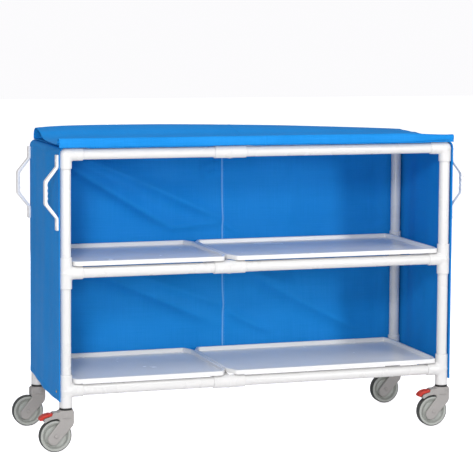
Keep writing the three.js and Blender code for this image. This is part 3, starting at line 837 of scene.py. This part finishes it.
def build_back_seam():
    """A felled seam up the middle of the back: a tape on the inside, the fell outside, and their stitches."""
    half_width, thick = 3.2 * MM, 1.1 * MM
    low, high = COVER_FOOT + 6 * MM, COVER_TOP - COVER_EDGE
    z = stations(low, high, 10 * MM)[None, :]
    lean = SEAM_X + 6 * MM * smooth(z, high, low)
    x = lean + np.linspace(-half_width, half_width, 5)[:, None]
    mid = grid_of(x, seam_ridge(x, z) - thick * 0.45, z)
    sheet("seam_tape_back", mid, thick, "trolley", finish="seam_tape", slot="cover_fabric")
    forward = np.tile((0.0, -1.0, 0.0), (z.size, 1))
    edge_rows = [("left", -2.2 * MM), ("right", 2.2 * MM)]
    for side, offset in [*edge_rows, ("outer", 8 * MM)]:
        line = (lean + offset)[0]
        raised = thick if abs(offset) < half_width else 0
        path = np.column_stack([line, seam_ridge(line, z[0]) - raised, z[0]])
        stitches(f"seam_stitches_{side}", path, forward, "trolley")
    outside = seam_ridge(lean[0], z[0]) + CLOTH
    felled = grid_of(x[::-1], outside[None, :] + thick * 0.45, z)
    sheet("seam_fell_back", felled, thick, "trolley", slot="cover_fabric")
    for side, offset in edge_rows:
        path = np.column_stack([lean[0] + offset, outside + thick, z[0]])
        stitches(f"fell_stitches_{side}", path, -forward, "trolley")


def binding_foot(x):
    """Height of the front binding's lower edge, lifted where it rides over the fittings."""
    fittings = [LEFT_X, CROSS_X, RIGHT_X]
    lift = sum(smooth(np.abs(x - spot), OUTLET + 25 * MM, OUTLET) for spot in fittings)
    return COVER_TOP - 3.6 * MM + 2 * MM * np.minimum(lift, 1) + 0.5 * MM * bumps(x, 0, 5, 0.4)


def build_front_binding():
    """The bound front edge of the top panel, where the flap is sewn on."""
    low_x, high_x = LEFT_X - COVER_OFFSET, RIGHT_X + COVER_OFFSET
    x = stations(low_x, high_x, 12 * MM)[:, None]
    top = HINGE_Z - 1.1 * MM
    foot = binding_foot(x)
    share = np.array([0, 0.1, 0.3, 0.5, 0.7, 0.9, 1])[None, :]
    bulge = np.sin(share * math.pi) * 0.6 * MM
    mid = grid_of(x, FRONT_Y - 25.4 * MM - bulge, foot + (top - foot) * share)
    sheet("front_binding", mid, np.array([1.6, 3, 3.6, 3.6, 3.6, 3, 1.6]) * MM, "trolley")


def build_eyelets():
    """Brass eyelets near the lower front corners of the end panels."""
    ring = [(2.6, -0.9), (4.6, -0.9), (5.2, 0), (4.6, 0.9), (3.6, 1.3), (2.6, 0.9), (2.2, 0)]
    verts, faces = lathe(in_metres(ring), "x", 28)
    for side, sign, edge in (("left", -1, LEFT_X), ("right", 1, RIGHT_X)):
        place = (edge + sign * (COVER_OFFSET + 1.4 * MM), FRONT_Y + 32 * MM, COVER_FOOT + 31 * MM)
        shape = placed(verts, faces, place, (sign, 1, 1))
        add_piece(f"eyelet_{side}", *shape, "trolley", "brass", slot="zinc_steel")


# ---------------------------------------------------------------- flap
FOLD_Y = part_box("flap_upper")[1].y + 4 * MM
FLAP_LEFT = LEFT_X - 18 * MM
FLAP_RIGHT = RIGHT_X + 26 * MM
BATTEN_Z = 13 * MM  # height of the hem's stiffening bar above the hinge line

# The flap's line in millimetres, from its sewn edge to its hem. First how far back from the sewn edge.
SEWN_SPOTS = (0, 12, 60, 170, 300, 400)
# Then the fold, the ridge and the slope down to the front, as (back from the fold line, height, and shares of
# the ridge's height, of the wave in y and of the wave in z).
FOLD_SPOTS = [
    (-22, 0, 0, 0, 0),
    (-5, 0, 0, 0, 0),
    (0.5, 1.28, 1.92 / 53, 0, 0),
    (1.2, 0, 0.30, 0, 0),
    (-2, 0, 0.55, 0, 0),
    (-14, 0, 0.85, 0, 0),
    (-38, 0, 1, 1, 0),
    (-72, 0, 0.90, 1, 0),
    (-112, 5.5, 0.60, 0, 0),
    (-156, 5.5, 0.27, 0, 0),
    (-205, 6.2, 0.07, 0, 1),
    (-270, 6.4, 0, 0, 1),
    (-340, 6.4, 0, 0, 1),
    (-410, 6.4, 0, 0, 0.5),
]
# Last the hem rolled round its bar, as (back from the hem's front, height).
HEM_SPOTS = [(31, 20), (20, 29.5), (8, 30), (1, 22), (-0.4, 12), (0.6, 3), (1.8, -2.2), (4.2, -2.4), (5, 2)]


def crest_height(x):
    """Height of the flap's back ridge: highest left of centre, pinched flat at the right."""
    share = (x - FLAP_LEFT) / (FLAP_RIGHT - FLAP_LEFT)
    height = 53.5 - 60 * np.maximum(share - 0.3, 0) ** 1.56 - 8 * np.exp(-(x - FLAP_LEFT) / (60 * MM))
    height = height + 0.8 * bumps(x, 0, 21, 0.5)
    pinch = smooth(x, FLAP_RIGHT - 6 * MM, FLAP_RIGHT - 42 * MM)
    return (9 + (height - 9) * pinch) * MM


def curve_through(points, count):
    """Points evenly spread along a smooth curve through the given (..., n, 2) control points."""
    points = np.asarray(points, float)
    ends = 2 * points[..., :1, :] - points[..., 1:2, :], 2 * points[..., -1:, :] - points[..., -2:-1, :]
    padded = np.concatenate([ends[0], points, ends[1]], -2)
    spans = points.shape[-2] - 1
    place = np.linspace(0, spans, count)
    start = np.minimum(place.astype(int), spans - 1)
    t = (place - start)[:, None]
    a, b, c, d = (padded[..., start + i, :] for i in range(4))
    return 0.5 * (2 * b + (c - a) * t + (2 * a - 5 * b + 4 * c - d) * t**2 + (3 * b - a - 3 * c + d) * t**3)


def flap_profile(x):
    """The flap's line in y and z at each x: back along the top, up round the fold, over the ridge, forward to
    the front edge and round the hem, which is slimmer at its right end."""
    crest = crest_height(x)
    wave = 0.8 * MM * bumps(x, 0.3, 23, 0.25)
    run = 0.9 * MM * bumps(x, 0.7, 29, 0.35)
    front, lift = FRONT_Y - 36 * MM + wave * 0.4, 0.8 * MM * bumps(x, 0.1, 31, 0.6)
    slim = 1 - 0.4 * smooth(x, FLAP_RIGHT - 240 * MM, FLAP_RIGHT - 20 * MM)
    core_y = front + 16 * MM

    def spot(y, z):
        return grid_of(y, HINGE_Z + z, x)[..., :2]

    def round_hem(y, z):
        return spot(core_y + (front + y - core_y) * slim, BATTEN_Z + (z - BATTEN_Z) * slim + lift)

    spots = [spot(FRONT_Y + (back - 27.5) * MM, 0) for back in SEWN_SPOTS]
    for back, height, ridge, wave_y, wave_z in FOLD_SPOTS:
        spots.append(spot(FOLD_Y + back * MM + wave_y * wave, height * MM + ridge * crest + wave_z * run))
    spots.append(spot(front + 39 * MM, 8 * MM + run * 0.3))
    spots += [round_hem(back * MM, height * MM) for back, height in HEM_SPOTS]
    spots += [spot(front + 7 * MM, 6.5 * MM), spot(front + 18 * MM, 6.2 * MM)]
    return np.stack(spots, -2)


def flap_grid(x):
    """The flap's middle surface. Its left edge slants outwards towards the front."""
    flat = curve_through(flap_profile(x), 170)
    slant = smooth(flat[..., 0], FOLD_Y - 60 * MM, FRONT_Y) * smooth(flat[..., 1], HINGE_Z, HINGE_Z + 5 * MM)
    slant[:, :40] = 0
    slant = np.maximum.accumulate(slant, axis=1)
    across = x[:, None] - 13 * MM * slant * np.exp(-(x[:, None] - FLAP_LEFT) / (60 * MM))
    return np.concatenate([across[..., None], flat], -1)


def build_flap():
    """Upper half, fold and lower half of one cloth: the halves ride on their flap bodies, the fold on none.
    """
    seam = [SEAM_X + shift * MM for shift in (-5, -4.4, 4.4, 5)]
    x = stations(FLAP_LEFT, FLAP_RIGHT, 10 * MM, [*seam, *hem_stations(FLAP_LEFT, FLAP_RIGHT)])
    mid = flap_grid(x)
    normals = sheet_normals(mid)
    edge = np.minimum(x - FLAP_LEFT, FLAP_RIGHT - x)
    hem = CLOTH + 0.6 * (hem_thickness(edge) - CLOTH)
    thickness = hem + 0.9 * MM * smooth(np.abs(x - SEAM_X), 5 * MM, 4.4 * MM)
    line = mid[len(x) // 2]
    behind = line[:, 1] > FOLD_Y - 14 * MM
    first = int(np.argmax(behind))
    last = int(np.argmax(behind & (line[:, 2] > HINGE_Z + 9 * MM)))
    parts = [  # name, body, CAD nodes it stands for, first and last station
        ("flap_upper_cloth", "flap_upper_half", ["flap_upper"], 0, first),
        ("flap_fold", None, [], first, last),
        ("flap_lower_cloth", "flap_lower_half", ["flap_lower"], last, len(line) - 1),
    ]
    for name, body, nodes, start, end in parts:
        part = slice(start, end + 1)
        facing = normals[:, part]
        piece = sheet(name, mid[:, part], thickness[:, None], body, normals=facing, replaced=nodes)
        if body is None:
            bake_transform(piece)
    build_flap_stitches(x, mid, normals, thickness)
    build_batten()


def build_batten():
    """Rounded ends of the stiffening bar inside the flap's hem."""
    for name, x, sign, radius in (("left", FLAP_LEFT, 1, 11.5 * MM), ("right", FLAP_RIGHT, -1, 8.6 * MM)):
        bar_end = lathe(rounded_bar(radius, -2.5 * MM, 40 * MM, 4 * MM), "x", 32)
        place = (x, FRONT_Y - 20 * MM, HINGE_Z + BATTEN_Z)
        verts, faces = placed(*bar_end, place, (sign, 1, 1))
        add_piece(f"flap_batten_{name}", verts, faces, "flap_lower_half", "cover_fabric")


def build_flap_stitches(x, mid, normals, thickness):
    """Stitches across the band at the flap's middle seam and near its left end."""
    crest = int(np.argmax(mid[len(x) // 2, :, 2]))
    outside = slice(crest, mid.shape[1] - 20)
    spots = {"seam_left": SEAM_X - 3 * MM, "seam_right": SEAM_X + 3 * MM}
    spots.update({f"end_{i}": FLAP_LEFT + (14 + 11 * i) * MM for i in range(3)})
    for name, place in spots.items():
        column = int(np.argmin(np.abs(x - place)))
        path = mid[column, outside] + normals[column, outside] * thickness[column] / 2
        path[:, 0] += place - x[column]
        stitches(f"flap_stitches_{name}", path, normals[column, outside], "flap_lower_half", width=1.6 * MM)


# ---------------------------------------------------------------- handles
def arc(centre_x, centre_z, radius, start, end, steps=10):
    """Outline points in x and z along an arc, its angles in degrees."""
    angles = [math.radians(start + (end - start) * i / steps) for i in range(steps + 1)]
    return [(centre_x + radius * math.cos(a), centre_z + radius * math.sin(a)) for a in angles]


HANDLE_FOOT = 99  # from a handle's middle to the inner end of its pads, in millimetres
SCREW_Z = 121 * MM  # from a handle's middle to each screw


def handle_outline():
    """One bow handle, x as its reach from the end panel and z as its height from its own middle."""
    half = extent("handle_front_left")[2] / 2 / MM
    reach, pad, thick = 54, 8.5, 12.5
    grip, foot, scallops = 42, HANDLE_FOOT, 4
    inner = reach - thick
    outline = [(-1.2, half - 1), (-1.2, foot - 3), (inner - 1.5, grip)]
    for i in range(scallops * 6 + 1):
        turn = i / 6
        dip = 2.6 * abs(math.sin(math.pi * turn))
        outline.append((inner - 1.2 + dip, grip - 2 - (2 * grip - 4) * turn / scallops))
    outline += [(inner - 1.5, -grip), (-1.2, 3 - foot), (-1.2, 1 - half), (0, -half), (pad, -half)]
    outline += [(pad, -foot - 2), (pad + 1.5, 1 - foot), (reach - 3, -grip - 6), (reach - 0.6, -grip - 1)]
    outline += [(reach, 4 - grip), (reach, grip - 4)]
    outline += [(reach - 0.6, grip + 1), (reach - 3, grip + 6), (pad + 1.5, foot - 1)]
    outline += [(pad, foot + 2), (pad, half), (0, half)]
    return np.array(outline) * MM


def handle_skin():
    outline = handle_outline()
    half = outline[:, 1].max()
    foot, pad_width, bow_width = HANDLE_FOOT * MM, 14.5 * MM, 13 * MM
    pad_middle = (half + foot) / 2

    def distance(p):
        bow = plate(p, outline, bow_width, 2.8 * MM)
        pads = rounded(
            (
                np.abs(p[:, 0] - 3.6 * MM) - 4.8 * MM,
                np.abs(p[:, 1]) - pad_width,
                np.abs(np.abs(p[:, 2]) - pad_middle) - (half - foot) / 2 - 0.5 * MM,
            ),
            2.4 * MM,
        )
        from_sink = np.stack([p[:, 0] - 12.4 * MM, p[:, 1], np.abs(p[:, 2]) - pad_middle], -1)
        sunk = size_of(from_sink) - 8 * MM
        return cut(join(bow, pads, 3 * MM), sunk, 0.8 * MM)

    high = (outline[:, 0].max(), pad_width, half + 1 * MM)
    return skin(distance, (-2 * MM, -pad_width, -half - 1 * MM), high, 2.1 * MM)


def screw_skin():
    """A pan head with a cross slot, facing +x from its seat at the origin."""

    def distance(p):
        dome = np.maximum(size_of(p + np.array([5.2, 0, 0]) * MM) - 7.6 * MM, -p[:, 0] - 1 * MM)
        head = rounded((dome, size_of(p[:, 1:]) - 4.4 * MM), 0.4 * MM)
        deep = 0.7 * MM - p[:, 0]
        for this, other in ((1, 2), (2, 1)):
            slot = np.maximum(np.abs(p[:, this]) - 0.55 * MM, np.abs(p[:, other]) - 2.6 * MM)
            head = cut(head, np.maximum(slot, deep), 0.2 * MM)
        return head

    reach = 4.6 * MM
    return skin(distance, (-1.2 * MM, -reach, -reach), (2.6 * MM, reach, reach), 0.42 * MM)


def build_handles():
    bow, screw = handle_skin(), screw_skin()
    for corner, (sx, sy) in CORNERS.items():
        low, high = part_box(f"handle_{corner}")
        place = np.array((low.x if sx > 0 else high.x, (low.y + high.y) / 2, (low.z + high.z) / 2))
        name = f"grab_handle_{corner}"
        add_piece(name, *placed(*bow, place, (sx, 1, 1)), "trolley", "handle_plastic", [f"handle_{corner}"])
        for end, offset in (("top", SCREW_Z), ("bottom", -SCREW_Z)):
            seat = place + np.array((sx * 3.9 * MM, 0, offset))
            verts, faces = placed(*screw, seat, (sx, 1, 1))
            add_piece(f"handle_screw_{end}_{corner}", verts, faces, "trolley", "zinc_steel")


# ---------------------------------------------------------------- casters
# Drawn with the swivel axis on z, the foot on z = 0 and the wheel trailing along -x, in millimetres.
WHEEL_RADIUS = extent("caster_wheel_front_left")[2] / 2 / MM
AXLE_X = (centre("caster_wheel_front_left").x - LEFT_X) / MM
AXLE_Z = WHEEL_RADIUS
HEAD_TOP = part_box("caster_fork_back_left")[1].z / MM
PEDAL_PIVOT = (-45, 142.5)


def fork_outline():
    head = [(28.5, 154), (27, 157.5), (-27, 157.5), (-31, 153), (-31.5, 128), (-27, 119)]
    heel = arc(AXLE_X - 9, 52, 24, 152, 300, 12)
    return np.array(head + heel + [(17, 92), (25, 101), (28.5, 114)]) * MM


def housing_outline():
    under = arc(AXLE_X, AXLE_Z, WHEEL_RADIUS + 4.5, 76, 128.5, 14)
    heel = [(-90.5, 128), (-87.5, 133.5), (-79, 136), (-57, 142), (-56, 151)]
    return np.array([(-48, 154), (-18, 154), *under, *heel]) * MM


def fork_skin(braked):
    outline, housing = fork_outline(), housing_outline()
    axle = np.array((AXLE_X, AXLE_Z)) * MM
    seat = arc(AXLE_X, AXLE_Z, WHEEL_RADIUS + 9.5, 85, 144, 12)
    pocket = np.array([(-110, 150.5), (-36, 150.5), *seat]) * MM

    def distance(p):
        body = plate(p, outline, 23 * MM, 4.5 * MM)
        head = bar(p, (0, 0, 132 * MM), (0, 0, (HEAD_TOP - 3.4) * MM), 28.4 * MM, 2.5 * MM)
        body = join(body, head, 5 * MM)
        if braked:
            body = join(body, plate(p, housing, 21 * MM, 2.5 * MM), 4 * MM)
            body = cut(body, plate(p, pocket, 17.7 * MM, 0.4 * MM), 0.8 * MM)
        radial = size_of(p[:, [0, 2]] - axle)
        slot = rounded((radial - (WHEEL_RADIUS + 3.6) * MM, np.abs(p[:, 1]) - 17 * MM), 1 * MM)
        body = cut(body, slot, 1.2 * MM)
        ring = size_of(np.stack([radial - 14 * MM, np.abs(p[:, 1]) - 23.2 * MM], -1)) - 1.1 * MM
        body = cut(body, ring, 0.8 * MM)
        return cut(body, np.maximum(radial - 4.5 * MM, -np.abs(p[:, 1])), 0.5 * MM)

    low_x = min(outline[:, 0].min(), housing[:, 0].min() if braked else 0)
    head_radius = 28.5 * MM
    low, high = (low_x, -head_radius, outline[:, 1].min()), (29 * MM, head_radius, HEAD_TOP * MM)
    return skin(distance, low, high, 2.2 * MM)


def both_faces(side):
    """A wheel's whole lathe profile from the (radius, height) points of its front half, in millimetres."""
    return in_metres(side + [(r, -h) for r, h in reversed(side)])


def tyre_profile():
    """Section of the dark tread band: its shoulders round over from the wheel's side faces to the crown."""
    half, crown, foot = 14.8, WHEEL_RADIUS, WHEEL_RADIUS - 3.2
    shoulder = [(crown - 4 + 4 * math.sin(a), half - 5 + 5 * math.cos(a)) for a in np.linspace(0.3, 1.45, 6)]
    side = [(foot - 3, half - 2), (foot, half - 0.3), *shoulder, (crown, half - 8)]
    return both_faces(side)


def hub_profile():
    """Dished face with a boss round the bore, then two grooves and the tyre's pale side wall."""
    face = [(4.4, 15.6), (11.5, 15.6), (12.5, 14.4), (13.5, 10.2), (38, 9.4), (41, 11.4), (42.6, 12.6)]
    face += [(43.4, 8.6), (45.2, 8.6), (46, 12.6), (47.4, 12.6), (48.2, 10)]
    face += [(49.6, 14.2), (51, 15), (57, 15), (58.6, 14.3)]
    return both_faces(face)


def pedal_skin():
    x0, z0 = PEDAL_PIVOT
    top = arc(-66, 98, 52.5, 82, 128, 10)
    tip = [(-104.6, 132.4), (-105.4, 129.5), (-104, 124.6), (-93, 125.2)]
    under = [(-90, 130), (-82, 135.5), (-60, 140)]
    outline = np.array([*arc(x0, z0, 7, -100, 96, 10), (-57, 149.6), *top[1:], *tip, *under]) * MM
    half_width, groove_pitch = 17 * MM, 8 * MM

    def distance(p):
        plate_part = plate(p, outline, half_width, 2 * MM)
        from_groove = np.abs((p[:, 0] + 98 * MM + groove_pitch / 2) % groove_pitch - groove_pitch / 2)
        grooves = np.maximum(from_groove - 0.8 * MM, 146.2 * MM - p[:, 2])
        grooves = np.maximum(grooves, p[:, 0] + 70 * MM)
        hole = 2.9 * MM - size_of(p[:, [0, 2]] - np.array(PEDAL_PIVOT) * MM)
        return np.maximum(cut(plate_part, grooves, 0.5 * MM), hole)

    low = (outline[:, 0].min(), -half_width, outline[:, 1].min())
    return skin(distance, low, (-37 * MM, half_width, 151 * MM), 1.6 * MM)


def stem_profile():
    """Kingpin, the ring between fork and post, and the stem inside the post."""
    low, high = HEAD_TOP - 3.2, BOTTOM_TEE_FOOT / MM - 0.4
    ring = [(24.5, low), (25, low + 0.8), (25, high - 0.8), (24.5, high)]
    stem = [(16.9, high), (16.9, 222), (14, 228), (0, 228)]
    return in_metres([(0, 139), (6, 139), (6, low), *ring, *stem])


def axle_profiles():
    """The bolt with its domed head at the front, and its nut at the back."""
    face = 23.4
    dome = [(7.6 * math.sin(a), -face - 0.8 - 3.2 * math.cos(a)) for a in np.linspace(0, math.pi / 2, 7)]
    bolt = [*dome, (7.6, -face), (4, -face), (4, face + 5.5), (3.2, face + 6.3), (0, face + 6.3)]
    washer = [(4.1, face), (9, face), (9, face + 1.1), (4.1, face + 1.1)]
    nut = [(4.1, 1.1), (6.2, 1.1), (6.9, 1.8), (6.9, 4.2), (6.2, 4.9), (4.1, 4.9)]
    nut = [(radius, face + height) for radius, height in nut]
    return [in_metres(profile) for profile in (bolt, washer, nut)]


def build_casters():
    forks = {True: fork_skin(True), False: fork_skin(False)}
    tyre, hub = lathe(tyre_profile(), "y", 96), lathe(hub_profile(), "y", 72)
    stem = lathe(stem_profile(), "z", 48)
    bolt, washer, nut = (lathe(profile, "y", sides) for profile, sides in zip(axle_profiles(), (32, 32, 6)))
    pedal, pin = pedal_skin(), lathe(rounded_bar(2.4 * MM, -21.6 * MM, 21.6 * MM, 0.6 * MM), "y", 24)
    for corner, (_, sy) in CORNERS.items():
        x, y = post_axis(corner)
        at, hub_at = (x, y, 0), (x + AXLE_X * MM, y, AXLE_Z * MM)
        swivel, wheel, braked = f"swivel_{corner}", f"wheel_{corner}", sy < 0
        fork = placed(*forks[braked], at)
        add_piece(f"fork_{corner}", *fork, swivel, "caster_plastic", [f"caster_fork_{corner}"])
        tyre_of, axle_of = [f"caster_wheel_{corner}"], [f"caster_axle_{corner}"]
        turned(f"tyre_{corner}", tyre, hub_at, wheel, "tyre_dark", tyre_of, "wheel_rubber", 35)
        turned(f"wheel_hub_{corner}", hub, hub_at, wheel, "wheel_hub", (), "wheel_rubber", 35)
        turned(f"stem_{corner}", stem, at, "trolley", "black_plastic", [f"caster_stem_{corner}"])
        turned(f"axle_bolt_{corner}", bolt, hub_at, swivel, "caster_plastic", axle_of, "zinc_steel")
        turned(f"axle_washer_{corner}", washer, hub_at, swivel, "zinc_steel")
        turned(f"axle_nut_{corner}", nut, hub_at, swivel, "zinc_steel")
        if braked:
            name = f"pedal_{corner}"
            add_piece(f"brake_{name}_lever", *placed(*pedal, at), name, "pedal_plastic", [f"brake_{name}"])
            pin_at = (x + PEDAL_PIVOT[0] * MM, y, PEDAL_PIVOT[1] * MM)
            add_piece(f"pedal_pin_{corner}", *placed(*pin, pin_at), swivel, "caster_plastic")


build_frame()
build_trays()
build_wrap()
build_top()
build_back_seam()
build_front_binding()
build_eyelets()
build_flap()
build_handles()
build_casters()


# ---------------------------------------------------------------- stage
FLOOR_GLOW = 0.75  # how bright the floor looks to the camera beyond the light it gets
BACKDROP_LIGHT, BACKDROP_SEEN = 0.42, 0.98  # the backdrop's strength as a light, and as the camera sees it
LIGHT_TARGET = Vector((MIDDLE_X, 0, 0.7))
LIGHTS = [  # name, place, side length, watts
    ("high key", (-2.7, -5.1, 2.9), 0.8, 95),
    ("low key", (-2.5, -5.3, 1.3), 0.6, 50),
    ("top", (-0.3, -2.2, 4.4), 1.8, 60),
    ("fill", (3.0, -5.4, 1.9), 0.7, 95),
    ("back", (1.6, 5.6, 0.9), 1.5, 110),
]
CAMERA_PLACE = (MIDDLE_X - 2.453, -7.144, 1.656)
CAMERA_YAW, CAMERA_PITCH, CAMERA_ROLL = (math.radians(angle) for angle in (18.81, -5.13, 0.36))
CAMERA_LENS, CAMERA_SHIFT = 142.6, -0.1


def build_stage():
    """A pale floor that glows faintly for the camera alone, so that it runs into the bright backdrop."""
    bpy.ops.mesh.primitive_plane_add(size=60)
    floor = bpy.context.object
    floor.name = "floor"
    white = new_material("floor_white", (0.93, 0.92, 0.93), 0.7)
    n = Nodes(white)
    seen = n.tree.nodes.new("ShaderNodeLightPath").outputs["Is Camera Ray"]
    n.shader.inputs["Emission Color"].default_value = (1, 0.985, 1, 1)
    n.link(n.math("MULTIPLY", seen, FLOOR_GLOW), "Emission Strength")
    floor.data.materials.append(white)


def area_light(name, place, size, power):
    data = bpy.data.lights.new(name, "AREA")
    data.energy, data.size = power, size
    light = bpy.data.objects.new(name, data)
    light.location = place
    light.rotation_euler = (LIGHT_TARGET - Vector(place)).to_track_quat("-Z", "Y").to_euler()
    bpy.context.scene.collection.objects.link(light)


def build_world():
    """A bright backdrop for the camera and a softer light of the same tint for everything else."""
    world = bpy.data.worlds.new("studio")
    world.use_nodes = True
    tree = world.node_tree
    background = tree.nodes["Background"]
    background.inputs["Color"].default_value = (0.99, 0.985, 1.0, 1)
    seen = tree.nodes.new("ShaderNodeLightPath").outputs["Is Camera Ray"]
    strength = tree.nodes.new("ShaderNodeMapRange")
    tree.links.new(seen, strength.inputs["Value"])
    strength.inputs["To Min"].default_value = BACKDROP_LIGHT
    strength.inputs["To Max"].default_value = BACKDROP_SEEN
    tree.links.new(strength.outputs[0], background.inputs["Strength"])
    bpy.context.scene.world = world


def build_lights():
    for light in LIGHTS:
        area_light(*light)
    bpy.context.scene.view_settings.view_transform = "Standard"


def build_camera():
    """Looks at the front from the left, a little above the top shelf."""
    data = bpy.data.cameras.new("camera")
    data.sensor_width, data.lens, data.shift_y = 36, CAMERA_LENS, CAMERA_SHIFT
    camera = bpy.data.objects.new("camera", data)
    turn = Matrix.Rotation(-CAMERA_YAW, 4, "Z") @ Matrix.Rotation(math.pi / 2 + CAMERA_PITCH, 4, "X")
    turn = turn @ Matrix.Rotation(CAMERA_ROLL, 4, "Z")
    camera.matrix_world = Matrix.Translation(CAMERA_PLACE) @ turn
    bpy.context.scene.collection.objects.link(camera)
    bpy.context.scene.camera = camera


build_stage()
build_world()
build_lights()
build_camera()
